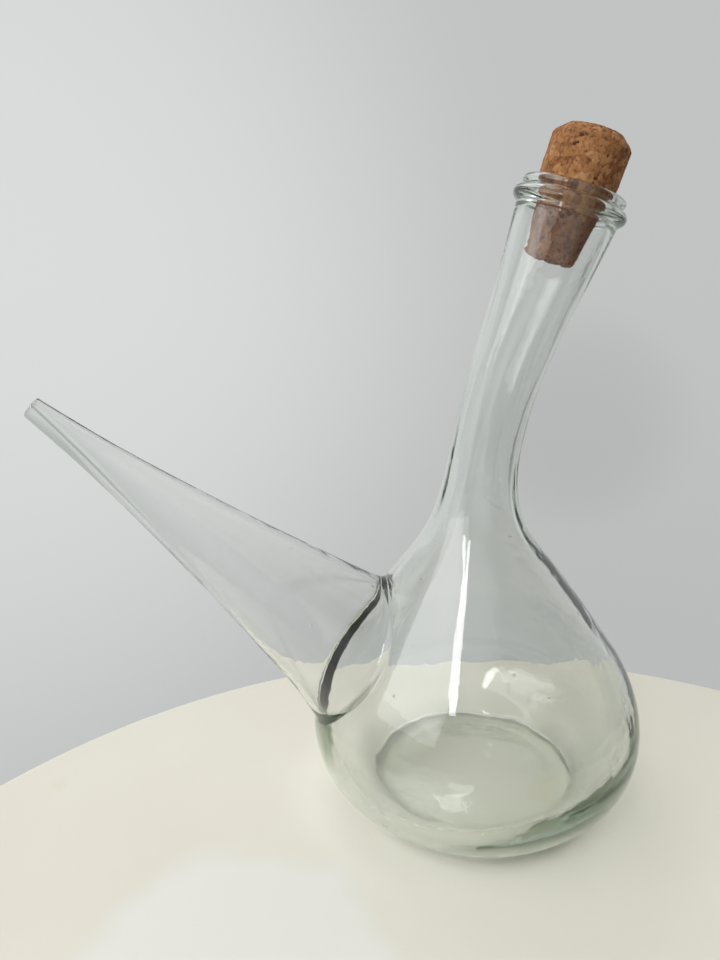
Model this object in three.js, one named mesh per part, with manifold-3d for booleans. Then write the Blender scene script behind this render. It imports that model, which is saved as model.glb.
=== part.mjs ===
// Glass porron: a spouted wine pitcher with a bent neck and a tapered agglomerated-cork stopper.
// Millimetres, +Z up. The pitcher stands on z = 0, its spout points along -X, its neck leans
// towards +X, and the plane y = 0 is its plane of symmetry.
import * as THREE from 'three';
import { mergeVertices } from 'three/addons/utils/BufferGeometryUtils.js';
import Module from 'manifold-3d';

const wasm = await Module();
wasm.setup();

// ---- driving dimensions ----

// The blown vessel, from its standing ring to the top of the neck: distance along the vessel's
// axis, outer radius, and wall thickness square to the axis.
const VESSEL = [
  [0, 45, 6.8],
  [4, 49.2, 7.4],
  [11, 57.2, 8.4],
  [22, 66.2, 7.6],
  [36, 70, 5.8],
  [50, 68.4, 4.8],
  [65, 62.2, 4.4],
  [80, 52.4, 4.3],
  [95, 42, 4.2],
  [110, 30.9, 4.1],
  [123, 21.6, 4.0],
  [136, 16.5, 4.0],
  [152, 14.3, 4.0],
  [176, 13.9, 3.8],
  [214, 15.6, 3.6],
  [251, 19.1, 3.7],
];

// The neck's lean away from the spout: it grows along the neck, then eases back at the mouth.
const LEAN = { from: 108, to: 213, degrees: 20.5 };
const EASE = { from: 230, to: 248, degrees: 2.3 };

// The base: its standing ring, the push-up under it and the floor inside.
const RING_INNER_RADIUS = 39;
const PUSH_UP_HEIGHT = 4;
const FLOOR_RIM = { radius: 43.5, height: 6.4 };
const FLOOR_CORNER = 2;
const FLOOR_CENTRE_HEIGHT = 9.2;
const BASE_TOP = 12;

// Where the zones of the glass meet, as distances along the vessel's axis.
const GAP = 0.3;
const SHOULDER_TOP = 112;
const NECK_TOP = 250.4;
const COLLAR_TOP = 255.9;
const LIP_TOP = 260.3;

// The mouth: a wide collar bead under a narrower lip bead, and the bore that grips the stopper.
const COLLAR_RADIUS = 21.3;
const LIP_RADIUS = 19.3;
const BEAD_ROOT = 3;
const NECK_BORE = 15.4;
const COLLAR_BORE = 14.9;
const MOUTH_BORE = 14.4;
const LIP_ROUNDING = 0.9;
const GRIP_HEIGHT = 2.4;

// The spout: a drawn cone with a slight trumpet flare at the vessel. Distance along its axis
// from a point inside the vessel, outer radius, and mean wall thickness.
const SPOUT = [
  [0, 34.1, 2.2],
  [13, 29.7, 2.0],
  [33, 25.1, 1.6],
  [67, 18.4, 1.4],
  [109, 11.3, 1.9],
  [142, 6.7, 2.5],
  [167.2, 4.5, 3.0],
];
const SPOUT_START = new THREE.Vector3(-48.1, 0, 70.4);
const SPOUT_RISE_DEGREES = 41.1;
const BORE_OFFSET_AT_TIP = 1.6;
const TIP_ROUNDING = 0.8;
const WELD_BEAD_RADIUS = 3;

// How far the spout's cutters run inside the vessel and past the tip, and the height at which
// the bulb's own cutter starts.
const INSIDE_VESSEL = -12;
const PAST_TIP = 1;
const PLUG_START = 1;

// The stopper: radius and height above the top of the lip, from its lower end to its crown.
const STOPPER = [
  [0, -27.2],
  [8.6, -27.2],
  [9.4, -26.3],
  [11.6, -9],
  [13.4, -3],
  [14.1, 0],
  [14.4, 3],
  [14.5, 15.2],
  [13.8, 16.4],
  [11.2, 18.6],
  [10.1, 19.1],
  [0, 19.3],
];

// Steps along each outline.
const HEEL_STEPS = 5;
const FLOOR_CORNER_STEPS = 2;
const BULB_STEPS = { outer: 12, inner: 9 };
const NECK_STEPS = { outer: 15, inner: 12 };
const BEAD_STEPS = 7;
const SPOUT_STEPS = { outer: 12, bore: 11 };
const CUTTER_STEPS = 16;

// Facets round each piece.
const AROUND_VESSEL = 64;
const AROUND_NECK = 44;
const AROUND_MOUTH = 48;
const AROUND_SPOUT = 44;
const AROUND_BORE = 32;
const ALONG_WELD = 72;
const AROUND_WELD = 10;

// ---- outlines ----

// A smooth function through one column of a table whose first column is the distance.
function smoothColumn(table, column) {
  const distances = table.map((row) => row[0]);
  const values = table.map((row) => row[column]);
  const curve = new THREE.CubicInterpolant(distances, values, 1);
  return (distance) => curve.evaluate(distance)[0];
}

const vesselRadius = smoothColumn(VESSEL, 1);
const vesselWall = smoothColumn(VESSEL, 2);
const spoutWall = smoothColumn(SPOUT, 2);
const spoutRadiusOnTable = smoothColumn(SPOUT, 1);
const SPOUT_LENGTH = SPOUT.at(-1)[0];

// The spout's outer radius at distance t; inside the vessel it stays as wide as at its start.
function spoutRadius(t) {
  return spoutRadiusOnTable(Math.max(0, t));
}

function spoutBoreRadius(t) {
  return spoutRadius(t) - spoutWall(Math.max(0, t));
}

// Points of an outline at even steps of distance, as [radius, distance].
function sampleOutline(radiusAt, from, to, steps) {
  const points = [];
  for (let i = 0; i <= steps; i += 1) {
    const s = THREE.MathUtils.lerp(from, to, i / steps);
    points.push([radiusAt(s), s]);
  }
  return points;
}

// Half of a round bead's outline, from its lower root to its upper one.
function beadOutline(radius, from, to, steps) {
  const root = radius - BEAD_ROOT;
  const middle = (from + to) / 2;
  const points = [];
  for (let i = 0; i <= steps; i += 1) {
    const angle = THREE.MathUtils.lerp(-Math.PI / 2, Math.PI / 2, i / steps);
    points.push([root + BEAD_ROOT * Math.cos(angle), middle + (to - middle) * Math.sin(angle)]);
  }
  return points;
}

// ---- solids ----

// Turns an outline of [radius, height] points about the Z axis.
function turned(outline, segments) {
  const points = outline.map(([radius, height]) => new THREE.Vector2(radius, height));
  return new THREE.LatheGeometry(points, segments).rotateX(Math.PI / 2);
}

// A ring or tube wall: the outer outline up, then the inner one down, closed on itself.
function turnedWall(outer, inner, segments) {
  return turned([...outer, ...inner.toReversed(), outer[0]], segments);
}

function smoothstep({ from, to }, s) {
  return THREE.MathUtils.smoothstep(s, from, to);
}

// The lean of the vessel's axis from the vertical at distance s along it, in radians.
function leanAt(s) {
  const degrees = LEAN.degrees * smoothstep(LEAN, s) - EASE.degrees * smoothstep(EASE, s);
  return THREE.MathUtils.degToRad(degrees);
}

// The point of the vessel's axis at distance s, found by walking along it.
const AXIS_STEP = 0.5;
function axisPoint(s) {
  const point = new THREE.Vector3(0, 0, Math.min(s, LEAN.from));
  const steps = Math.max(0, Math.ceil((s - LEAN.from) / AXIS_STEP));
  const length = steps ? (s - LEAN.from) / steps : 0;
  for (let i = 0; i < steps; i += 1) {
    const lean = leanAt(LEAN.from + (i + 0.5) * length);
    point.x += length * Math.sin(lean);
    point.z += length * Math.cos(lean);
  }
  return point;
}

// Bends a solid that was turned about a straight axis so that it follows the vessel's axis.
function bent(geometry) {
  const position = geometry.attributes.position;
  for (let i = 0; i < position.count; i += 1) {
    const across = position.getX(i);
    const s = position.getZ(i);
    if (s > LEAN.from) {
      const centre = axisPoint(s);
      const lean = leanAt(s);
      position.setX(i, centre.x + across * Math.cos(lean));
      position.setZ(i, centre.z - across * Math.sin(lean));
    }
  }
  geometry.computeVertexNormals();
  return geometry;
}

// ---- booleans ----

const MERGE_DISTANCE = 1e-3;

function solid(geometry) {
  const bare = geometry.clone();
  bare.deleteAttribute('normal');
  bare.deleteAttribute('uv');
  const merged = mergeVertices(bare, MERGE_DISTANCE);
  const index = merged.index.array;
  const triangles = [];
  for (let i = 0; i < index.length; i += 3) {
    const [a, b, c] = index.slice(i, i + 3);
    if (a !== b && b !== c && c !== a) {
      triangles.push(a, b, c);
    }
  }
  return new wasm.Manifold(new wasm.Mesh({
    numProp: 3,
    vertProperties: new Float32Array(merged.attributes.position.array),
    triVerts: new Uint32Array(triangles),
  }));
}

function geometryOf(manifold) {
  const mesh = manifold.getMesh();
  const geometry = new THREE.BufferGeometry();
  geometry.setAttribute('position', new THREE.BufferAttribute(mesh.vertProperties, 3));
  geometry.setIndex(new THREE.BufferAttribute(mesh.triVerts, 1));
  geometry.computeVertexNormals();
  return geometry;
}

// ---- the vessel ----

const innerRadius = (s) => vesselRadius(s) - vesselWall(s);

// The shares of a shallow dome's radius at which its outline has points.
const DOME_SHARES = [0, 0.35, 0.7, 1];

// The base: a shallow push-up, the standing ring, the heel and the floor inside.
function baseGeometry() {
  const pushUp = DOME_SHARES.map((f) => [RING_INNER_RADIUS * f, PUSH_UP_HEIGHT * (1 - f ** 2)]);
  const heel = sampleOutline(vesselRadius, 0, BASE_TOP, HEEL_STEPS);
  const cornerHeight = FLOOR_RIM.height + FLOOR_CORNER;
  const inside = sampleOutline(innerRadius, BASE_TOP, cornerHeight, FLOOR_CORNER_STEPS);
  const rise = FLOOR_CENTRE_HEIGHT - FLOOR_RIM.height;
  const floor = DOME_SHARES.toReversed().map((f) => [
    FLOOR_RIM.radius * f,
    FLOOR_RIM.height + rise * (1 - f ** 2),
  ]);
  return turned([...pushUp, ...heel, ...inside, ...floor], AROUND_VESSEL);
}

function bulbWall() {
  const from = BASE_TOP + GAP;
  const outer = sampleOutline(vesselRadius, from, SHOULDER_TOP, BULB_STEPS.outer);
  const inner = sampleOutline(innerRadius, from, SHOULDER_TOP, BULB_STEPS.inner);
  return bent(turnedWall(outer, inner, AROUND_VESSEL));
}

function neckGeometry() {
  const from = SHOULDER_TOP + GAP;
  const outer = sampleOutline(vesselRadius, from, NECK_TOP, NECK_STEPS.outer);
  const inner = sampleOutline(innerRadius, from, NECK_TOP, NECK_STEPS.inner);
  return bent(turnedWall(outer, inner, AROUND_NECK));
}

function collarGeometry() {
  const outer = beadOutline(COLLAR_RADIUS, NECK_TOP + GAP, COLLAR_TOP, BEAD_STEPS);
  const inner = [[NECK_BORE, NECK_TOP + GAP], [COLLAR_BORE, COLLAR_TOP]];
  return bent(turnedWall(outer, inner, AROUND_MOUTH));
}

function lipGeometry() {
  const outer = beadOutline(LIP_RADIUS, COLLAR_TOP + GAP, LIP_TOP, BEAD_STEPS);
  const inner = [
    [COLLAR_BORE, COLLAR_TOP + GAP],
    [MOUTH_BORE, LIP_TOP - GRIP_HEIGHT],
    [MOUTH_BORE, LIP_TOP - LIP_ROUNDING],
    [MOUTH_BORE + LIP_ROUNDING, LIP_TOP],
  ];
  return bent(turnedWall(outer, inner, AROUND_MOUTH));
}

// ---- the spout and its weld ----

const SPOUT_RISE = THREE.MathUtils.degToRad(SPOUT_RISE_DEGREES);
const SPOUT_AXIS = new THREE.Vector3(-Math.cos(SPOUT_RISE), 0, Math.sin(SPOUT_RISE));
const SPOUT_UP = new THREE.Vector3(Math.sin(SPOUT_RISE), 0, Math.cos(SPOUT_RISE));
const SPOUT_SIDE = new THREE.Vector3().crossVectors(SPOUT_AXIS, SPOUT_UP);

// Puts a solid that was turned about Z on the spout's axis, with its +X side uppermost.
function onSpoutAxis(geometry) {
  const frame = new THREE.Matrix4().makeBasis(SPOUT_UP, SPOUT_SIDE, SPOUT_AXIS);
  return geometry.applyMatrix4(frame.setPosition(SPOUT_START));
}

// The bore runs nearer the upper side towards the tip, so the wall is thickest underneath.
function offsetBore(geometry) {
  const position = geometry.attributes.position;
  for (let i = 0; i < position.count; i += 1) {
    const along = Math.max(0, position.getZ(i) / SPOUT_LENGTH);
    position.setX(i, position.getX(i) + BORE_OFFSET_AT_TIP * along ** 2);
  }
  return geometry;
}

// A solid of revolution between two heights, closed across both ends.
function turnedPlug(outline, segments) {
  const low = [0, outline[0][1]];
  const high = [0, outline.at(-1)[1]];
  return turned([low, ...outline, high], segments);
}

function spoutPlug() {
  const end = SPOUT_LENGTH - TIP_ROUNDING;
  const along = sampleOutline(spoutRadius, INSIDE_VESSEL, end, SPOUT_STEPS.outer);
  const rim = [[SPOUT.at(-1)[1] - TIP_ROUNDING, SPOUT_LENGTH]];
  return solid(onSpoutAxis(turnedPlug([...along, ...rim], AROUND_SPOUT)));
}

function spoutBore() {
  const along = sampleOutline(spoutBoreRadius, INSIDE_VESSEL, SPOUT_LENGTH, SPOUT_STEPS.bore);
  const past = [[spoutBoreRadius(SPOUT_LENGTH), SPOUT_LENGTH + PAST_TIP]];
  return solid(onSpoutAxis(offsetBore(turnedPlug([...along, ...past], AROUND_BORE))));
}

// How far a point on the bulb's side lies outside the middle of the bulb's wall.
function outsideVessel(point) {
  const radius = vesselRadius(point.z) - vesselWall(point.z) / 2;
  return Math.hypot(point.x, point.y) - radius;
}

// The middle of the spout's wall at distance t along its axis and angle phi round it.
function spoutMidWallPoint(t, phi) {
  const radius = (spoutRadius(t) + spoutBoreRadius(t)) / 2;
  return SPOUT_START.clone()
    .addScaledVector(SPOUT_AXIS, t)
    .addScaledVector(SPOUT_UP, radius * Math.cos(phi))
    .addScaledVector(SPOUT_SIDE, radius * Math.sin(phi));
}

// Where the spout's wall meets the bulb's wall at angle phi, by halving the distance.
const JUNCTION_SEARCH = { from: -15, to: 30, halvings: 30 };
function junctionPoint(phi) {
  let inside = JUNCTION_SEARCH.from;
  let outside = JUNCTION_SEARCH.to;
  for (let i = 0; i < JUNCTION_SEARCH.halvings; i += 1) {
    const middle = (inside + outside) / 2;
    if (outsideVessel(spoutMidWallPoint(middle, phi)) > 0) {
      outside = middle;
    } else {
      inside = middle;
    }
  }
  return spoutMidWallPoint(inside, phi);
}

// A round bead of that radius along the joint between the spout and the bulb.
function weldTube(radius) {
  const points = [];
  const count = ALONG_WELD / 2;
  for (let i = 0; i < count; i += 1) {
    points.push(junctionPoint((2 * Math.PI * i) / count));
  }
  const path = new THREE.CatmullRomCurve3(points, true);
  return new THREE.TubeGeometry(path, ALONG_WELD, radius, AROUND_WELD, true);
}

function vesselPlug() {
  const outline = sampleOutline(vesselRadius, PLUG_START, LEAN.from, CUTTER_STEPS);
  return solid(turnedPlug(outline, AROUND_VESSEL));
}

const plug = spoutPlug();
const weldRoom = solid(weldTube(WELD_BEAD_RADIUS + GAP));

function spoutGeometry() {
  return geometryOf(plug.subtract(spoutBore()).subtract(vesselPlug()).subtract(weldRoom));
}

function bulbGeometry() {
  return geometryOf(solid(bulbWall()).subtract(plug).subtract(weldRoom));
}

// ---- the stopper ----

// The stopper stands in the mouth on the axis that the neck has there.
function placeStopper(mesh) {
  mesh.position.copy(axisPoint(LIP_TOP));
  mesh.rotation.y = leanAt(LIP_TOP);
}

// ---- materials and the assembled model ----

function glass(color) {
  const clear = { transparent: true, opacity: 0.35 };
  return new THREE.MeshStandardMaterial({ color, roughness: 0.04, metalness: 0, ...clear });
}

function cork() {
  return new THREE.MeshStandardMaterial({ color: 0xb98b5b, roughness: 0.9, metalness: 0 });
}

const BOTTLE_GREEN = 0xc9d6ca;
const HEEL_GREEN = 0x8fa593;
const SPOUT_GREY = 0xd2d8d4;

const parts = [
  ['base', baseGeometry(), glass(HEEL_GREEN)],
  ['bulb', bulbGeometry(), glass(BOTTLE_GREEN)],
  ['neck', neckGeometry(), glass(BOTTLE_GREEN)],
  ['mouth_collar', collarGeometry(), glass(BOTTLE_GREEN)],
  ['mouth_lip', lipGeometry(), glass(BOTTLE_GREEN)],
  ['spout', spoutGeometry(), glass(SPOUT_GREY)],
  ['spout_weld', weldTube(WELD_BEAD_RADIUS), glass(HEEL_GREEN)],
  ['cork_stopper', turned(STOPPER, AROUND_MOUTH), cork()],
];

const porron = new THREE.Group();
for (const [name, geometry, material] of parts) {
  const mesh = new THREE.Mesh(geometry, material);
  mesh.name = name;
  porron.add(mesh);
}
placeStopper(porron.getObjectByName('cork_stopper'));

// The origin is on the table under the middle of the whole model, spout included.
const extent = new THREE.Box3().setFromObject(porron, true);
porron.position.x = -(extent.min.x + extent.max.x) / 2;

export default porron;
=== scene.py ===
"""Looks for the glass porron: one fused glass pitcher and its cork stopper.

The shapes are worked out in millimetres from the bulb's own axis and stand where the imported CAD
nodes do. Blender's units are metres, +Z up, with the spout along -X.
"""
import math

import bmesh
import bpy
import numpy as np
from mathutils import Matrix, Vector, noise


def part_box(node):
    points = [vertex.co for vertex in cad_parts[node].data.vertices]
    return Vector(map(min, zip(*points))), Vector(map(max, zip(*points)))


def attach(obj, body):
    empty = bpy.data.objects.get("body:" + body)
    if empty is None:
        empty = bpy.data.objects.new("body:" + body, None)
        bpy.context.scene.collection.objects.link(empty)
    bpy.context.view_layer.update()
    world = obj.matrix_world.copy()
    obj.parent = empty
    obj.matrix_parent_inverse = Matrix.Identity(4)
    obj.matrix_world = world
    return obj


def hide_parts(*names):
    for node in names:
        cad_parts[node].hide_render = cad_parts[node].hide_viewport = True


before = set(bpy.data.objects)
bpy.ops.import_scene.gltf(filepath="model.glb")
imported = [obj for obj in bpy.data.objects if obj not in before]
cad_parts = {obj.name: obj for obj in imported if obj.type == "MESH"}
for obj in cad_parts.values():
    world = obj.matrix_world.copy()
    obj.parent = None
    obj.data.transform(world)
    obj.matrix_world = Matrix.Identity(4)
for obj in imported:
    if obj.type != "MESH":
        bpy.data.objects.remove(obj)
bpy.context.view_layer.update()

MM = 0.001
TURN = 2 * math.pi

# ---- the pitcher's dimensions, in millimetres ----

# Distance along the vessel's axis, outer radius, wall thickness.
VESSEL = np.array([
    (0, 45, 6.8), (4, 49.2, 7.4), (11, 57.2, 8.4), (22, 66.2, 7.6), (36, 70, 5.8),
    (50, 68.4, 4.8), (65, 62.2, 4.4), (80, 52.4, 4.3), (95, 42, 4.2), (110, 30.9, 4.1),
    (123, 21.6, 4.0), (136, 16.5, 4.0), (152, 14.3, 4.0), (176, 13.9, 3.8),
    (214, 15.6, 3.6), (251, 19.1, 3.7),
])
# The neck's lean away from the spout, and its easing at the mouth: from, to, degrees.
LEAN = (108, 213, 20.5)
EASE = (230, 248, 2.3)
PUSH_UP_RADIUS, PUSH_UP_HEIGHT = 39, 4
FLOOR_RADIUS, FLOOR_HEIGHT, FLOOR_RISE = 43.5, 6.4, 2.8
LIP_TOP = 260.3

# Distance along the spout's axis, outer radius, mean wall thickness.
SPOUT = np.array([
    (0, 34.1, 2.2), (13, 29.7, 2.0), (33, 25.1, 1.6), (67, 18.4, 1.4),
    (109, 11.3, 1.9), (142, 6.7, 2.5), (167.2, 4.5, 3.0),
])
SPOUT_START = np.array([-48.1, 0, 70.4])
SPOUT_RISE = math.radians(41.1)
SPOUT_LENGTH = 167.2
BORE_OFFSET_AT_TIP = 1.6

# The stopper: radius and height above the top of the lip.
STOPPER = [
    (0, -27.2), (8.6, -27.2), (9.4, -26.3), (11.6, -9), (13.4, -3), (14.1, 0), (14.4, 3),
    (14.5, 15.2), (13.8, 16.4), (11.2, 18.6), (10.1, 19.5), (0, 20.0),
]

bulb_low, bulb_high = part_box("bulb")
AXIS_X = (bulb_low.x + bulb_high.x) / 2


def to_frame(points):
    """Millimetres from the bulb's axis, as metres in the row frame."""
    return np.asarray(points, float) * MM + np.array([AXIS_X, 0, 0])


# ---- smooth functions ----

class Spline:
    """The natural cubic spline through a table's points."""

    def __init__(self, xs, ys):
        self.xs, self.ys = np.asarray(xs, float), np.asarray(ys, float)
        n, h = len(xs), np.diff(self.xs)
        a, b = np.eye(n), np.zeros(n)
        for i in range(1, n - 1):
            a[i, i - 1:i + 2] = h[i - 1], 2 * (h[i - 1] + h[i]), h[i]
            slopes = np.diff(self.ys[i - 1:i + 2]) / h[i - 1:i + 1]
            b[i] = 6 * (slopes[1] - slopes[0])
        self.bend = np.linalg.solve(a, b)

    def __call__(self, x):
        x = np.clip(x, self.xs[0], self.xs[-1])
        i = np.clip(np.searchsorted(self.xs, x) - 1, 0, len(self.xs) - 2)
        h = self.xs[i + 1] - self.xs[i]
        p, q = (self.xs[i + 1] - x) / h, (x - self.xs[i]) / h
        curve = (p**3 - p) * self.bend[i] + (q**3 - q) * self.bend[i + 1]
        return p * self.ys[i] + q * self.ys[i + 1] + curve * h * h / 6


def smoothstep(low, high, x):
    t = np.clip((np.asarray(x, float) - low) / (high - low), 0, 1)
    return t * t * (3 - 2 * t)


vessel_radius = Spline(VESSEL[:, 0], VESSEL[:, 1])
vessel_wall = Spline(VESSEL[:, 0], VESSEL[:, 2])
spout_outer = Spline(SPOUT[:, 0], SPOUT[:, 1])
spout_wall = Spline(SPOUT[:, 0], SPOUT[:, 2])


def inner_radius(s):
    return vessel_radius(s) - vessel_wall(s)


def lean_at(s):
    """The lean of the vessel's axis at distance s along it, in radians."""
    return np.radians(LEAN[2] * smoothstep(LEAN[0], LEAN[1], s)
                      - EASE[2] * smoothstep(EASE[0], EASE[1], s))


AXIS_STEP = 0.25
axis_s = np.arange(0, LIP_TOP + 60, AXIS_STEP)
_mid_lean = lean_at(axis_s[:-1] + AXIS_STEP / 2)
axis_x = np.concatenate([[0], np.cumsum(np.sin(_mid_lean) * AXIS_STEP)])
axis_z = np.concatenate([[0], np.cumsum(np.cos(_mid_lean) * AXIS_STEP)])


def vessel_point(angle, s, radius):
    """A point at that angle round the vessel's axis, 0 on the spout's side and growing to +Y."""
    lean = lean_at(s)
    across, aside = -radius * np.cos(angle), radius * np.sin(angle)
    x = np.interp(s, axis_s, axis_x) + across * np.cos(lean)
    z = np.interp(s, axis_s, axis_z) - across * np.sin(lean)
    return np.stack(np.broadcast_arrays(x, aside, z), -1)


# ---- the blown glass's small unevenness ----

def drift(angle, s, reach, seed):
    """Smooth noise from -1 to 1 over the vessel, drawn out along its axis by reach."""
    angle, s = np.broadcast_arrays(angle, s)
    flat = [
        noise.noise(Vector((1.6 * math.cos(a), 1.6 * math.sin(a), d / reach + seed)))
        for a, d in zip(angle.ravel(), s.ravel())
    ]
    return np.array(flat).reshape(angle.shape)


# The heel's glass ran thick on the side away from the spout as it cooled, and low down in front.
# Each has a direction, how far the inside stands out opposite it, and how much less it does there.
HEAVY_SIDE, HEAVY_OUT, HEAVY_LESS = math.radians(213), 1.9, 5.4
FRONT_SIDE, FRONT_OUT, FRONT_LESS = math.radians(260), 1.3, 3.1


def outer_wave(angle, s):
    """How far the outside stands out from its round shape."""
    return 0.30 * drift(angle, s, 45, 3.7) + 0.05 * drift(angle * 2, s, 11, 31.1)


def inner_wave(angle, s):
    """How far the inside stands out from its round shape."""
    angle = np.asarray(angle)
    toward_heavy = (0.5 + 0.5 * np.cos(angle - HEAVY_SIDE)) ** 2
    toward_front = np.clip(np.cos(angle - FRONT_SIDE), 0, 1) ** 2
    sag = smoothstep(5, 12, s) * (1 - smoothstep(14, 38, s))
    heel = sag * (HEAVY_OUT - HEAVY_LESS * toward_heavy)
    heel = heel + (FRONT_OUT - FRONT_LESS * toward_front) * (1 - smoothstep(9, 18, s))
    return heel + 0.6 * drift(angle, s, 60, 11.3) + 0.2 * drift(angle * 3, s, 30, 23.9)


# ---- outlines of the vessel, as rows of (radius, distance) ----

# Columns round the vessel. The spout's root fills a patch of them, so many to each side.
AROUND = 72
PATCH_HALF = 11
PATCH_FROM, PATCH_TO, PATCH_ROWS = 26, 120, 24
NECK_FROM, NECK_TO, NECK_ROWS = 120, 248, 26


def rows_of(radius_at, start, end, count, last=False):
    """Even rows from start to end, with the last one only if it is asked for."""
    rows = [(float(radius_at(s)), s) for s in np.linspace(start, end, count + 1)]
    return rows if last else rows[:-1]


def bead(root, depth, middle, half, start, end, count):
    """An arc of a round bead's outline, from angle start to angle end in degrees."""
    angles = np.radians(np.linspace(start, end, count))
    return [(root + depth * math.cos(a), middle + half * math.sin(a)) for a in angles]


def outer_rows():
    """From the push-up's middle, under the ring, up the outside and over the lip."""
    push_up = [(r, PUSH_UP_HEIGHT * (1 - (r / PUSH_UP_RADIUS) ** 2)) for r in np.linspace(3, 38, 9)]
    ring = [(39.4, 0.08), (40.6, 0), (42.9, 0), (44.0, 0.12), (45.3, 0.7)]
    heel = rows_of(vessel_radius, 1.8, PATCH_FROM, 9)
    patch = rows_of(vessel_radius, PATCH_FROM, PATCH_TO, PATCH_ROWS)
    neck = rows_of(vessel_radius, NECK_FROM, NECK_TO, NECK_ROWS, last=True)
    collar = bead(18.3, 3.0, 253.3, 2.85, -72, 72, 9)
    lip = [(18.0, 256.2)] + bead(16.5, 2.8, 258.2, 2.1, -45, 80, 8)
    rim = [(16.2, 260.28), (15.5, 260.2), (14.9, 259.9), (14.5, 259.3)]
    start = len(push_up) + len(ring) + len(heel)
    return push_up + ring + heel + patch + neck + collar + lip + rim, start


def inner_rows():
    """From the mouth's bore down the inside to the middle of the floor."""
    bore = [
        (14.4, 258.4), (14.45, 257.2), (14.6, 255.9), (14.8, 254.2), (15.05, 252.3), (15.25, 250.3),
    ]
    neck = rows_of(inner_radius, NECK_TO, NECK_FROM, NECK_ROWS)
    patch = rows_of(inner_radius, PATCH_TO, PATCH_FROM, PATCH_ROWS)
    heel = rows_of(inner_radius, PATCH_FROM, 7.4, 10, last=True)
    corner = [(45.85, 6.7), (45.5, 6.3), (45.1, 6.1), (44.5, 6.12), (43.7, 6.36)]
    floor = [
        (r, FLOOR_HEIGHT + FLOOR_RISE * (1 - (r / FLOOR_RADIUS) ** 2))
        for r in (41.2, 39.5, 36.5, 32.5, 28, 23, 18, 13, 8, 3)
    ]
    return bore + neck + patch + heel + corner + floor, len(bore) + len(neck)


# ---- the spout ----

SPOUT_AXIS = np.array([-math.cos(SPOUT_RISE), 0, math.sin(SPOUT_RISE)])
SPOUT_UP = np.array([math.sin(SPOUT_RISE), 0, math.cos(SPOUT_RISE)])
SPOUT_SIDE = np.array([0, 1, 0])
# The radius and the height that the spout's root is laid flat about.
PLANE_SCALE, PLANE_MIDDLE = 50, 71


def spout_point(t, phi, radius, offset=0.0):
    """A point at distance t along the spout and angle phi round it, 0 on its upper side."""
    t, phi, radius, offset = (np.asarray(v, float)[..., None] for v in (t, phi, radius, offset))
    up = radius * np.cos(phi) + offset
    return SPOUT_START + t * SPOUT_AXIS + up * SPOUT_UP + radius * np.sin(phi) * SPOUT_SIDE


def outer_spout_point(t, phi):
    return spout_point(t, phi, spout_outer(t))


def bore_spout_point(t, phi):
    along = np.clip(np.asarray(t, float) / SPOUT_LENGTH, 0, 1)
    return spout_point(t, phi, spout_outer(t) - spout_wall(t), BORE_OFFSET_AT_TIP * along**2)


def junction(point_at, radius_at, phi):
    """Distance along the spout where its surface meets the vessel's, at each angle phi."""
    inside, outside = np.full(phi.shape, -12.0), np.full(phi.shape, 30.0)
    for _ in range(40):
        middle = (inside + outside) / 2
        p = point_at(middle, phi)
        beyond = np.hypot(p[:, 0], p[:, 1]) > radius_at(p[:, 2])
        outside = np.where(beyond, middle, outside)
        inside = np.where(beyond, inside, middle)
    return inside


def to_plane(points):
    """A vessel point as flat coordinates: distance round the axis, and height."""
    angle = np.arctan2(points[:, 1], -points[:, 0])
    return np.stack([PLANE_SCALE * angle, points[:, 2] - PLANE_MIDDLE], -1)


# ---- the glass mesh ----

class Sheet:
    """Collects rings of vertices and the quads between them."""

    def __init__(self):
        self.points, self.faces, self.count = [], [], 0

    def ring(self, points):
        """Adds points and returns their numbers."""
        self.points.append(np.asarray(points, float))
        first, self.count = self.count, self.count + len(points)
        return np.arange(first, self.count)

    def bridge(self, a, b, skip=()):
        """Quads between two rings, apart from the columns in skip."""
        n = len(a)
        for i in range(n):
            if i not in skip:
                j = (i + 1) % n
                self.faces.append((a[i], a[j], b[j], b[i]))

    def fan(self, ring, centre):
        """Triangles from a ring to a point in its middle."""
        middle = self.ring([centre])[0]
        for i in range(len(ring)):
            self.faces.append((ring[i], ring[(i + 1) % len(ring)], middle))


ANGLES = TURN * np.arange(AROUND) / AROUND
PATCH_COLUMNS = np.arange(-PATCH_HALF, PATCH_HALF + 1)
PATCH_RINGS, FILLET_RINGS, SPOUT_RINGS = 6, 5, 42
# The weld's fillet outside and inside: its reach on to the vessel and on to the spout.
OUTER_WELD, INNER_WELD = (2.2, 2.7), (0.9, 0.9)
# How far the fillet's curve is drawn towards the corner, as a share of the way.
WELD_PULL = 0.62
# Where the spout's plain walls stop and its rounded tip begins, short of the end.
TIP_ROUNDING = 0.9


def patch_frame(rows, first):
    """The closed loop of the vessel's own vertices round the patch that holds the spout's hole,
    with its flat coordinates: along the low row, up, back along the high row and down."""
    low, high = first, first + PATCH_ROWS
    columns, between = PATCH_COLUMNS, np.arange(low, high + 1)
    loop = [(low, c) for c in columns[:-1]] + [(r, columns[-1]) for r in between[:-1]]
    loop += [(high, c) for c in columns[::-1][:-1]] + [(r, columns[0]) for r in between[::-1][:-1]]
    ids = np.array([rows[r][0][c % AROUND] for r, c in loop])
    flat = np.array([
        (PLANE_SCALE * TURN * c / AROUND, rows[r][1] - PLANE_MIDDLE) for r, c in loop
    ])
    return ids, flat


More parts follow.
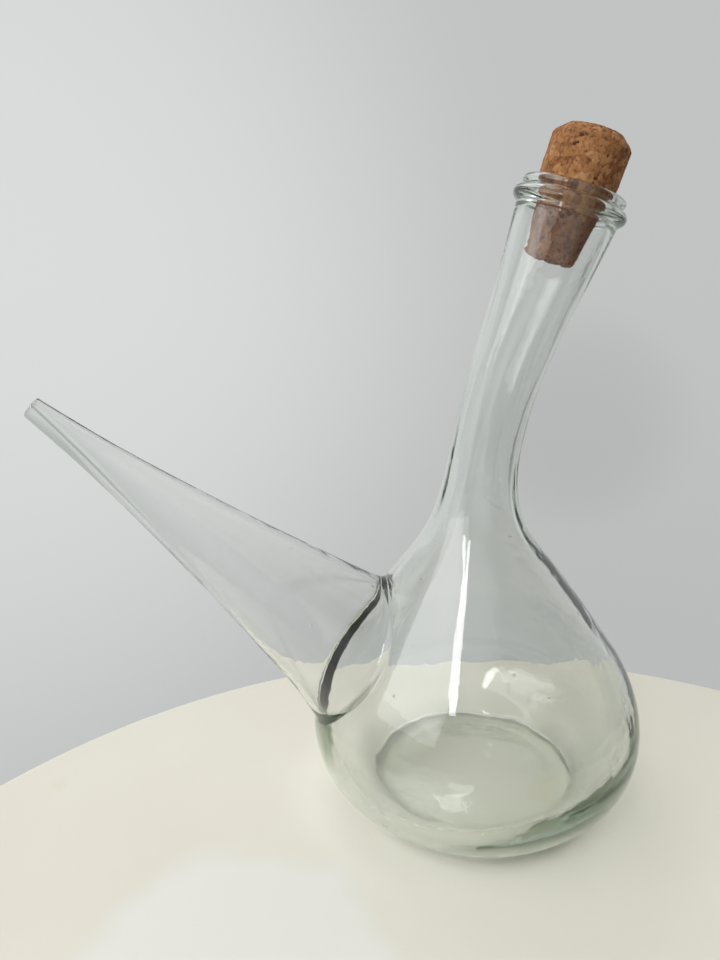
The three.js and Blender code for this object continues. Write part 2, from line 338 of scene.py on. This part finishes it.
def join_spout(sheet, rows, first, point_at, radius_at, wave, weld):
    """Fills the patch round the hole, turns smoothly on to the spout and runs to its tip.
    Returns the last ring and its angles round the spout."""
    along_vessel, along_spout = weld
    ids, frame_flat = patch_frame(rows, first)
    dense = np.linspace(-TURN, TURN, 1441)
    reach = junction(point_at, radius_at, dense)
    hole = to_plane(point_at(reach, dense))
    polar = np.unwrap(np.arctan2(hole[:, 1], hole[:, 0]))
    wanted = np.unwrap(np.arctan2(frame_flat[:, 1], frame_flat[:, 0]))
    wanted += TURN * np.round((polar.mean() - wanted.mean()) / TURN)
    phi = np.interp(-wanted, -polar, dense)
    t_join = junction(point_at, radius_at, phi)
    corner = point_at(t_join, phi)
    hole = to_plane(corner)
    distance = np.linalg.norm(hole, axis=1, keepdims=True)
    edge = hole * (1 + along_vessel / distance)

    def on_vessel(flat):
        angle, s = flat[:, 0] / PLANE_SCALE, flat[:, 1] + PLANE_MIDDLE
        return vessel_point(angle, s, radius_at(s) + wave(angle, s))

    previous = ids
    for i in range(1, PATCH_RINGS + 1):
        share = (1 - i / PATCH_RINGS) ** 1.25
        points = on_vessel(edge + (frame_flat - edge) * share)
        current = sheet.ring(points)
        sheet.bridge(previous, current)
        previous, start = current, points
    end = point_at(t_join + along_spout, phi)
    for i in range(1, FILLET_RINGS + 1):
        x = i / FILLET_RINGS
        a, b = start + (corner - start) * WELD_PULL, end + (corner - end) * WELD_PULL
        points = ((1 - x)**3 * start + 3 * x * (1 - x)**2 * a
                  + 3 * x * x * (1 - x) * b + x**3 * end)
        current = sheet.ring(points)
        sheet.bridge(previous, current)
        previous = current
    for i in range(1, SPOUT_RINGS + 1):
        x = i / SPOUT_RINGS
        t = (t_join + along_spout) * (1 - x) + (SPOUT_LENGTH - TIP_ROUNDING) * x
        current = sheet.ring(point_at(t, phi))
        sheet.bridge(previous, current)
        previous = current
    return previous, phi


def tip_rings(sheet, outer_ring, outer_phi, bore_ring, bore_phi):
    """The fire-polished end of the spout, from its outside over to the bore."""
    outer_radius = float(spout_outer(SPOUT_LENGTH))
    bore_radius = outer_radius - float(spout_wall(SPOUT_LENGTH))
    profile = [  # share of the way to the bore, and distance short of the tip
        (0.02, 0.55), (0.07, 0.25), (0.16, 0.07), (0.35, 0), (0.6, 0), (0.82, 0.05), (0.95, 0.3),
    ]
    previous = outer_ring
    for share, short in profile:
        radius = outer_radius + (bore_radius - outer_radius) * share
        phi = outer_phi + (bore_phi - outer_phi) * share
        offset = BORE_OFFSET_AT_TIP * share
        current = sheet.ring(spout_point(SPOUT_LENGTH - short, phi, radius, offset))
        sheet.bridge(previous, current)
        previous = current
    sheet.bridge(previous, bore_ring)


def glass_mesh():
    """The whole pitcher as one closed skin: outside, inside, lip and spout."""
    sheet = Sheet()
    outer, outer_first = outer_rows()
    inner, inner_first = inner_rows()

    def lay(rows, wave):
        laid = []
        for radius, s in rows:
            fade = smoothstep(4, 20, s) * (1 - smoothstep(240, 252, s))
            r = radius + wave(ANGLES, np.full(AROUND, float(s))) * fade
            laid.append((sheet.ring(vessel_point(ANGLES, s, r)), s))
        return laid

    outer_laid, inner_laid = lay(outer, outer_wave), lay(inner, inner_wave)
    patch_cells = {c % AROUND for c in PATCH_COLUMNS[:-1]}
    rising, rising_first = inner_laid[::-1], len(inner) - 1 - inner_first - PATCH_ROWS
    for laid, first in ((outer_laid, outer_first), (rising, rising_first)):
        for r in range(len(laid) - 1):
            inside = first <= r < first + PATCH_ROWS
            sheet.bridge(laid[r][0], laid[r + 1][0], patch_cells if inside else ())
    sheet.bridge(outer_laid[-1][0], inner_laid[0][0])
    sheet.fan(outer_laid[0][0], (0, 0, PUSH_UP_HEIGHT))
    sheet.fan(inner_laid[-1][0], (0, 0, FLOOR_HEIGHT + FLOOR_RISE))
    outer_tip = join_spout(sheet, outer_laid, outer_first, outer_spout_point, vessel_radius,
                           outer_wave, OUTER_WELD)
    inner_tip = join_spout(sheet, rising, rising_first, bore_spout_point, inner_radius,
                           inner_wave, INNER_WELD)
    tip_rings(sheet, *outer_tip, *inner_tip)
    return np.concatenate(sheet.points), sheet.faces


def mesh_object(name, points, faces, subdivide=0):
    """A smooth closed mesh with its faces turned outwards and no loose points."""
    bm = bmesh.new()
    verts = [bm.verts.new(p) for p in points]
    for face in faces:
        bm.faces.new([verts[i] for i in face])
    bmesh.ops.delete(bm, geom=[v for v in bm.verts if not v.link_faces], context="VERTS")
    bmesh.ops.recalc_face_normals(bm, faces=bm.faces)
    mesh = bpy.data.meshes.new(name)
    bm.to_mesh(mesh)
    bm.free()
    mesh.shade_smooth()
    obj = bpy.data.objects.new(name, mesh)
    bpy.context.scene.collection.objects.link(obj)
    if subdivide:
        modifier = obj.modifiers.new("smooth", "SUBSURF")
        modifier.levels = modifier.render_levels = subdivide
    return obj


# ---- materials ----

# The glass absorbs density * (1 - colour) per metre in each channel.
GLASS_COLOUR = (0.20, 0.34, 0.15)
GLASS_DENSITY = 21
GLASS_IOR = 1.52
RIPPLES_PER_METRE, RIPPLE_DETAIL = 80, 2.5
SEEDS_PER_METRE = 58


def new_material(name):
    material = bpy.data.materials.new(name)
    material.use_nodes = True
    nodes, links = material.node_tree.nodes, material.node_tree.links
    return material, nodes, links, nodes["Principled BSDF"]


def add(nodes, kind, **values):
    """A new node with those properties."""
    node = nodes.new(kind)
    for key, value in values.items():
        setattr(node, key, value)
    return node


def ramp_node(nodes, *stops):
    """A colour ramp through (position, colour) stops."""
    node = nodes.new("ShaderNodeValToRGB")
    elements = node.color_ramp.elements
    while len(elements) < len(stops):
        elements.new(0.5)
    for element, (position, colour) in zip(elements, stops):
        element.position, element.color = position, (*colour, 1)
    return node


def bump_node(nodes, links, height, strength, distance):
    """A bump that stands out by a height socket, over that distance in metres."""
    node = nodes.new("ShaderNodeBump")
    node.inputs["Strength"].default_value = strength
    node.inputs["Distance"].default_value = distance
    links.new(height, node.inputs["Height"])
    return node


def noise_node(nodes, links, vector, scale, detail, roughness=0.5):
    node = nodes.new("ShaderNodeTexNoise")
    node.inputs["Scale"].default_value = scale
    node.inputs["Detail"].default_value = detail
    node.inputs["Roughness"].default_value = roughness
    links.new(vector, node.inputs["Vector"])
    return node


def range_node(nodes, links, value, low, high, out_low=0.0, out_high=1.0):
    """Takes low..high smoothly to out_low..out_high."""
    node = add(nodes, "ShaderNodeMapRange", interpolation_type="SMOOTHSTEP")
    limits = {"From Min": low, "From Max": high, "To Min": out_low, "To Max": out_high}
    for name, number in limits.items():
        node.inputs[name].default_value = number
    links.new(value, node.inputs["Value"])
    return node.outputs["Result"]


def mix_node(nodes, links, factor, a, b, blend="MIX"):
    """Mixes colours a and b, each a socket or a constant, by a factor socket or number."""
    node = add(nodes, "ShaderNodeMix", data_type="RGBA", blend_type=blend)
    for socket, value in ((node.inputs[0], factor), (node.inputs[6], a), (node.inputs[7], b)):
        if isinstance(value, bpy.types.NodeSocket):
            links.new(value, socket)
        else:
            socket.default_value = value if isinstance(value, (int, float)) else (*value, 1)
    return node.outputs[2]


def multiply(nodes, links, a, b):
    node = add(nodes, "ShaderNodeMath", operation="MULTIPLY")
    links.new(a, node.inputs[0])
    links.new(b, node.inputs[1])
    return node.outputs["Value"]


def glass_material():
    """Soda-lime bottle glass: clear, pale green in the depth of thick edges, faintly uneven."""
    material, nodes, links, shader = new_material("bottle_glass")
    shader.inputs["Base Color"].default_value = (1, 1, 1, 1)
    shader.inputs["Roughness"].default_value = 0
    shader.inputs["Transmission Weight"].default_value = 1
    shader.inputs["IOR"].default_value = GLASS_IOR
    place = nodes.new("ShaderNodeTexCoord").outputs["Object"]
    ripple = noise_node(nodes, links, place, RIPPLES_PER_METRE, RIPPLE_DETAIL).outputs["Fac"]
    rippled = bump_node(nodes, links, ripple, 0.3, 0.0006)
    spots = add(nodes, "ShaderNodeTexVoronoi")
    spots.inputs["Scale"].default_value = SEEDS_PER_METRE
    links.new(place, spots.inputs["Vector"])
    seeds = range_node(nodes, links, spots.outputs["Distance"], 0.045, 0.02)
    seeded = bump_node(nodes, links, seeds, 0.5, 0.0004)
    links.new(rippled.outputs["Normal"], seeded.inputs["Normal"])
    links.new(seeded.outputs["Normal"], shader.inputs["Normal"])
    absorb = add(nodes, "ShaderNodeVolumeAbsorption")
    absorb.inputs["Color"].default_value = (*GLASS_COLOUR, 1)
    absorb.inputs["Density"].default_value = GLASS_DENSITY
    links.new(absorb.outputs["Volume"], nodes["Material Output"].inputs["Volume"])
    return material


# Heights from the top of the lip, in metres, between which the cork turns darker purple-grey:
# painted shade on the part behind the lip and collar.
LIP_SHADE_HEIGHTS = (0.001, -0.012)
# The painted shade's purple-grey tint, and how strongly it is laid on below the lip.
LIP_SHADE_TINT, LIP_SHADE_SHARE = (0.50, 0.43, 0.45), 0.8
CHIP_TONES = [
    (0.0, (0.235, 0.09, 0.033)), (0.22, (0.325, 0.144, 0.055)),
    (0.7, (0.39, 0.18, 0.07)), (1.0, (0.48, 0.25, 0.11)),
]
MOTTLE_TONES = [
    (0.34, (0.40, 0.30, 0.24)), (0.45, (0.82, 0.78, 0.74)),
    (0.52, (0.98, 0.97, 0.96)), (0.7, (1.12, 1.14, 1.16)),
]
SEAM_COLOUR, PIT_COLOUR = (0.13, 0.045, 0.016), (0.075, 0.028, 0.012)


def cork_material():
    """Pressed cork granules: mottled tan chips, dark seams between them and small dark pits.
    The mesh's own grain layer says how dark each chip is and where its seams and pits lie."""
    material, nodes, links, shader = new_material("cork")
    place = nodes.new("ShaderNodeTexCoord").outputs["Object"]
    layer = add(nodes, "ShaderNodeVertexColor", layer_name="grain")
    grain = nodes.new("ShaderNodeSeparateColor")
    links.new(layer.outputs["Color"], grain.inputs["Color"])

    chips = ramp_node(nodes, *CHIP_TONES)
    links.new(grain.outputs["Red"], chips.inputs["Fac"])
    mottle = noise_node(nodes, links, place, 620, 5, 0.65).outputs["Fac"]
    shade = ramp_node(nodes, *MOTTLE_TONES)
    links.new(mottle, shade.inputs["Fac"])
    mottled = mix_node(nodes, links, 1.0, chips.outputs["Color"], shade.outputs["Color"], "MULTIPLY")
    breaks = noise_node(nodes, links, place, 900, 3).outputs["Fac"]
    broken = range_node(nodes, links, breaks, 0.40, 0.62)
    seams = multiply(nodes, links, grain.outputs["Green"], broken)
    seamed = mix_node(nodes, links, seams, mottled, SEAM_COLOUR)
    pitted = mix_node(nodes, links, grain.outputs["Blue"], seamed, PIT_COLOUR)
    height = nodes.new("ShaderNodeSeparateXYZ")
    links.new(place, height.inputs["Vector"])
    # Below the lip's top the cork is tinted darker purple-grey: painted shade where it sits behind
    # the lip and collar.
    lip_shade_amount = range_node(nodes, links, height.outputs["Z"], *LIP_SHADE_HEIGHTS, 0.0, LIP_SHADE_SHARE)
    lip_shade_colour = mix_node(nodes, links, lip_shade_amount, (1, 1, 1), LIP_SHADE_TINT)
    links.new(mix_node(nodes, links, 1.0, pitted, lip_shade_colour, "MULTIPLY"), shader.inputs["Base Color"])
    shader.inputs["Roughness"].default_value = 0.85
    shader.inputs["Specular IOR Level"].default_value = 0.3
    bump = bump_node(nodes, links, mottle, 0.5, 0.0003)
    links.new(bump.outputs["Normal"], shader.inputs["Normal"])
    return material


# The paler worn patch on the table: its middle from the bulb's axis, and its reach, in metres.
WORN_CENTRE = (-0.095, -0.088, 0)
WORN_REACH = (0.042, 0.060)
# How far its edge wanders, in metres.
WORN_WANDER = 0.035
PAINT_TONES = [(0.3, (0.695, 0.66, 0.575)), (0.7, (0.725, 0.70, 0.615))]
WORN_COLOUR, BLOT_COLOUR = (0.745, 0.735, 0.70), (0.68, 0.60, 0.44)


def table_material():
    """Cream paint, faintly uneven, with one paler worn patch and a few weak yellowed blots."""
    material, nodes, links, shader = new_material("cream_paint")
    place = nodes.new("ShaderNodeTexCoord").outputs["Object"]
    cloud = noise_node(nodes, links, place, 9, 4).outputs["Fac"]
    paint = ramp_node(nodes, *PAINT_TONES)
    links.new(cloud, paint.inputs["Fac"])
    wander = add(nodes, "ShaderNodeVectorMath", operation="MULTIPLY_ADD")
    links.new(noise_node(nodes, links, place, 28, 3).outputs["Color"], wander.inputs[0])
    wander.inputs[1].default_value = (WORN_WANDER, WORN_WANDER, 0)
    links.new(place, wander.inputs[2])
    away = add(nodes, "ShaderNodeVectorMath", operation="DISTANCE")
    links.new(wander.outputs["Vector"], away.inputs[0])
    middle = Vector((AXIS_X + WORN_WANDER / 2, WORN_WANDER / 2, 0))
    away.inputs[1].default_value = Vector(WORN_CENTRE) + middle
    worn = range_node(nodes, links, away.outputs["Value"], WORN_REACH[1], WORN_REACH[0], 0.0, 0.75)
    faded = mix_node(nodes, links, worn, paint.outputs["Color"], WORN_COLOUR)
    blots = noise_node(nodes, links, place, 17, 4).outputs["Fac"]
    blot = range_node(nodes, links, blots, 0.64, 0.72, 0.0, 0.3)
    links.new(mix_node(nodes, links, blot, faded, BLOT_COLOUR), shader.inputs["Base Color"])
    shader.inputs["Roughness"].default_value = 0.7
    shader.inputs["Specular IOR Level"].default_value = 0.15
    return material


# ---- the pieces ----

def build_pitcher():
    points, faces = glass_mesh()
    pitcher = mesh_object("pitcher_glass", to_frame(points), faces, subdivide=1)
    pitcher.data.materials.append(glass_material())
    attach(pitcher, "pitcher")
    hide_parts("base", "bulb", "neck", "mouth_collar", "mouth_lip", "spout", "spout_weld")
    return pitcher


def mouth_frame():
    """The matrix that puts a shape made round Z on the mouth's axis, its zero at the lip's top."""
    centre = vessel_point(np.array(0.0), np.array(float(LIP_TOP)), np.array(0.0))
    turn = Matrix.Rotation(float(lean_at(LIP_TOP)), 4, "Y")
    return Matrix.Translation(Vector(to_frame(centre))) @ turn


CORK_AROUND, CORK_ROWS = 300, 268
CHIP_SIZE, PIT_SPACING = 3.4, 1.9
# noise_vector draws its offsets from this seed, and from the clock if it isn't set.
CORK_SEED = 7


def cork_outline():
    """The stopper's outline at even steps: radius, height and the direction facing outwards."""
    outline = np.array(STOPPER, float)
    steps = np.concatenate([[0], np.cumsum(np.linalg.norm(np.diff(outline, axis=0), axis=1))])
    at = np.linspace(0, steps[-1], CORK_ROWS)
    rows = np.stack([np.interp(at, steps, outline[:, 0]), np.interp(at, steps, outline[:, 1])], -1)
    along = np.gradient(rows, axis=0)
    along /= np.linalg.norm(along, axis=1, keepdims=True)
    return rows, np.stack([along[:, 1], -along[:, 0]], -1)


def cork_surface(p):
    """How far the cork stands out at p in millimetres, and its grain: chip tone, seam and pit."""
    chip = Vector(p) + 0.8 * noise.noise_vector(Vector(p) / 2.0)
    near, cells = noise.voronoi(chip / CHIP_SIZE)
    tone = 0.5 + 0.5 * noise.cell(cells[0] * 91.7)
    seam = math.exp(-((near[1] - near[0]) / 0.10) ** 2)
    seam *= float(smoothstep(-0.35, 0.15, noise.noise(chip / 4 + Vector((5, 0, 0)))))
    ragged = Vector(p) + 0.55 * noise.noise_vector(Vector(p) / 0.7)
    close, spots = noise.voronoi(ragged / PIT_SPACING + Vector((9, 4, 2)))
    size = 0.40 * max(0.0, noise.cell(spots[0] * 57.3))
    size *= 0.75 + noise.noise(Vector(p) / 6 + Vector((0, 8, 0)))
    pit = float(smoothstep(size + 0.05, size - 0.03, close[0])) if size > 0.02 else 0.0
    rough = float(smoothstep(-19, -27, p[2]))
    out = 0.10 * noise.noise(Vector(p) / 3.1) + 0.06 * noise.noise(Vector(p) / 1.1)
    out += rough * (0.65 * noise.noise(Vector(p) / 2.1) + 0.4 * noise.noise(Vector(p) / 0.9))
    return out - 0.14 * seam - 0.40 * pit, (tone, seam, pit, 1)


def build_cork():
    noise.seed_set(CORK_SEED)
    sheet = Sheet()
    angles = TURN * np.arange(CORK_AROUND) / CORK_AROUND
    rings, grain = [], []
    for (radius, height), (out, up) in list(zip(*cork_outline()))[1:-1]:
        ring = []
        for c, s in zip(np.cos(angles), np.sin(angles)):
            lift, layers = cork_surface((radius * c, radius * s, height))
            ring.append(((radius + lift * out) * c, (radius + lift * out) * s, height + lift * up))
            grain.append(layers)
        rings.append(sheet.ring(ring))
    for a, b in zip(rings[:-1], rings[1:]):
        sheet.bridge(a, b)
    for ring, height in ((rings[0], STOPPER[0][1]), (rings[-1], STOPPER[-1][1])):
        sheet.fan(ring, (0, 0, height))
        grain.append(cork_surface((0, 0, height))[1])
    cork = mesh_object("cork_stopper_grained", np.concatenate(sheet.points) * MM, sheet.faces)
    layer = cork.data.color_attributes.new("grain", "FLOAT_COLOR", "POINT")
    layer.data.foreach_set("color", np.array(grain, np.float32).ravel())
    cork.matrix_world = mouth_frame()
    cork.data.materials.append(cork_material())
    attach(cork, "stopper")
    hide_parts("cork_stopper")
    return cork


# ---- the stage ----

# A round table top in millimetres, its middle measured from the bulb's axis.
TABLE_RADIUS, TABLE_THICKNESS, TABLE_EDGE = 282.4, 22, 4
TABLE_CENTRE = (-3.2, -167.5)
TABLE_AROUND = 256
# The gap that keeps the glass clear of the table, in metres.
TABLE_GAP = 0.0001


def table_outline():
    """Radius and height from the middle of the top, over the rounded edge, to under the middle."""
    flat = TABLE_RADIUS - TABLE_EDGE
    outline = [(r, 0) for r in np.linspace(20, flat - 1, 12)]
    for a in np.radians(np.linspace(90, -90, 13)):
        drop = -TABLE_EDGE if a > 0 else -TABLE_THICKNESS + TABLE_EDGE
        outline.append((flat + TABLE_EDGE * math.cos(a), drop + TABLE_EDGE * math.sin(a)))
    return outline + [(r, -TABLE_THICKNESS) for r in np.linspace(flat - 1, 20, 6)]


def build_table():
    sheet = Sheet()
    x, y = TABLE_CENTRE
    angles = TURN * np.arange(TABLE_AROUND) / TABLE_AROUND
    rings = []
    for radius, height in table_outline():
        across, along = x + radius * np.cos(angles), y + radius * np.sin(angles)
        rings.append(sheet.ring(np.stack([across, along, np.full(TABLE_AROUND, height)], -1)))
    for a, b in zip(rings[:-1], rings[1:]):
        sheet.bridge(a, b)
    sheet.fan(rings[0], (*TABLE_CENTRE, 0))
    sheet.fan(rings[-1], (*TABLE_CENTRE, -TABLE_THICKNESS))
    table = mesh_object("table_top", to_frame(np.concatenate(sheet.points)), sheet.faces)
    table.location.z = -TABLE_GAP
    table.data.materials.append(table_material())
    return table


# The room as soft patches of light: azimuth clockwise from +Y and height of its middle, how far
# from the middle it ends and is full (all in degrees), and its brightness.
PATCHES = [
    (0, 0, 84, 46, 0.50),
    (-28, -2, 42, 0, 0.17),
    (0, 90, 123, 90, 0.05),
    (-112, 30, 36, 0, 1.2),
    (-45, 60, 35, 0, 1.6),
    (90, 60, 35, 0, 0.35),
    (-160, 60, 38, 0, 0.9),
    (0, 60, 35, 0, 0.3),
    (180, 0, 42, 0, 0.5),
    (75, 0, 42, 0, 0.22),
    # A faint dark patch right of the neck: a painted shadow of the pitcher on the wall.
    (17, -12, 9, 0, -0.05),
    (-82, -30, 45, 0, 0.40),
    (180, -40, 105, 30, 0.12),
]
ROOM_COLOUR = (0.978, 1.0, 0.998)


def direction(azimuth, elevation):
    """The unit vector at that azimuth, from -Y towards +X, and elevation, in degrees."""
    a, e = math.radians(azimuth), math.radians(elevation)
    return Vector((math.sin(a) * math.cos(e), -math.cos(a) * math.cos(e), math.sin(e)))


def build_world():
    """A pale wall behind and a dim room, lit from the left and above."""
    world = bpy.data.worlds.new("pale_room")
    bpy.context.scene.world = world
    world.use_nodes = True
    nodes, links = world.node_tree.nodes, world.node_tree.links
    place = nodes.new("ShaderNodeTexCoord")
    total = None
    for azimuth, height, end, full, brightness in PATCHES:
        facing = add(nodes, "ShaderNodeVectorMath", operation="DOT_PRODUCT")
        links.new(place.outputs["Generated"], facing.inputs[0])
        facing.inputs[1].default_value = direction(180 - azimuth, height)
        patch = range_node(nodes, links, facing.outputs["Value"], math.cos(math.radians(end)),
                           math.cos(math.radians(full)), 0.0, brightness)
        if total:
            gather = add(nodes, "ShaderNodeMath", operation="ADD")
            links.new(total, gather.inputs[0])
            links.new(patch, gather.inputs[1])
            patch = gather.outputs["Value"]
        total = patch
    background = nodes["Background"]
    background.inputs["Color"].default_value = (*ROOM_COLOUR, 1)
    links.new(total, background.inputs["Strength"])


# The windows: azimuth and elevation in degrees, distance and size in metres, and watts.
WINDOWS = {
    "window": (-27, 40.2, 2.2, (0.20, 0.76), 5.2),
    "side_window": (-58, 34, 1.15, (1.0, 0.8), 4.6),
    "high_window": (178, 53, 2.2, (0.25, 0.25), 0.75),
}
# The point the windows face, this far above the bulb's foot.
LIT_HEIGHT = 0.1


def area_light(name, azimuth, elevation, distance, size, power):
    """A rectangular light that faces the bulb from that direction."""
    away = direction(azimuth, elevation)
    data = bpy.data.lights.new(name, "AREA")
    data.shape = "RECTANGLE"
    data.size, data.size_y = size
    data.energy = power
    light = bpy.data.objects.new(name, data)
    light.location = Vector((AXIS_X, 0, LIT_HEIGHT)) + away * distance
    light.rotation_mode = "QUATERNION"
    light.rotation_quaternion = away.to_track_quat("Z", "Y")
    bpy.context.scene.collection.objects.link(light)


def build_lights():
    for name, placing in WINDOWS.items():
        area_light(name, *placing)


# The camera: a phone held close, level with the mouth and tilted down.
CAMERA = (-51.1, -295.6, 234.4)
CAMERA_YAW, CAMERA_PITCH, CAMERA_ROLL = 0.76, -16.56, 1.59
FOCAL_PIXELS, LONG_SIDE_PIXELS, SENSOR = 766.2, 960, 36


def build_camera():
    yaw, pitch, roll = (math.radians(v) for v in (CAMERA_YAW, CAMERA_PITCH, CAMERA_ROLL))
    data = bpy.data.cameras.new("camera")
    data.sensor_width = SENSOR
    data.lens = SENSOR * FOCAL_PIXELS / LONG_SIDE_PIXELS
    data.clip_start = 0.01
    camera = bpy.data.objects.new("camera", data)
    turn = (Matrix.Rotation(-yaw, 4, "Z") @ Matrix.Rotation(math.pi / 2 + pitch, 4, "X")
            @ Matrix.Rotation(-roll, 4, "Z"))
    camera.matrix_world = Matrix.Translation(Vector(to_frame(CAMERA))) @ turn
    bpy.context.scene.collection.objects.link(camera)
    bpy.context.scene.camera = camera


# Light passes as many as eight glass surfaces, and turns back at some of them.
GLASS_BOUNCES = 28

build_pitcher()
build_cork()
build_table()
build_world()
build_lights()
build_camera()

scene = bpy.context.scene
scene.view_settings.view_transform = "Standard"
scene.cycles.blur_glossy = 0
scene.cycles.max_bounces = GLASS_BOUNCES
scene.cycles.transmission_bounces = GLASS_BOUNCES
scene.cycles.glossy_bounces = GLASS_BOUNCES
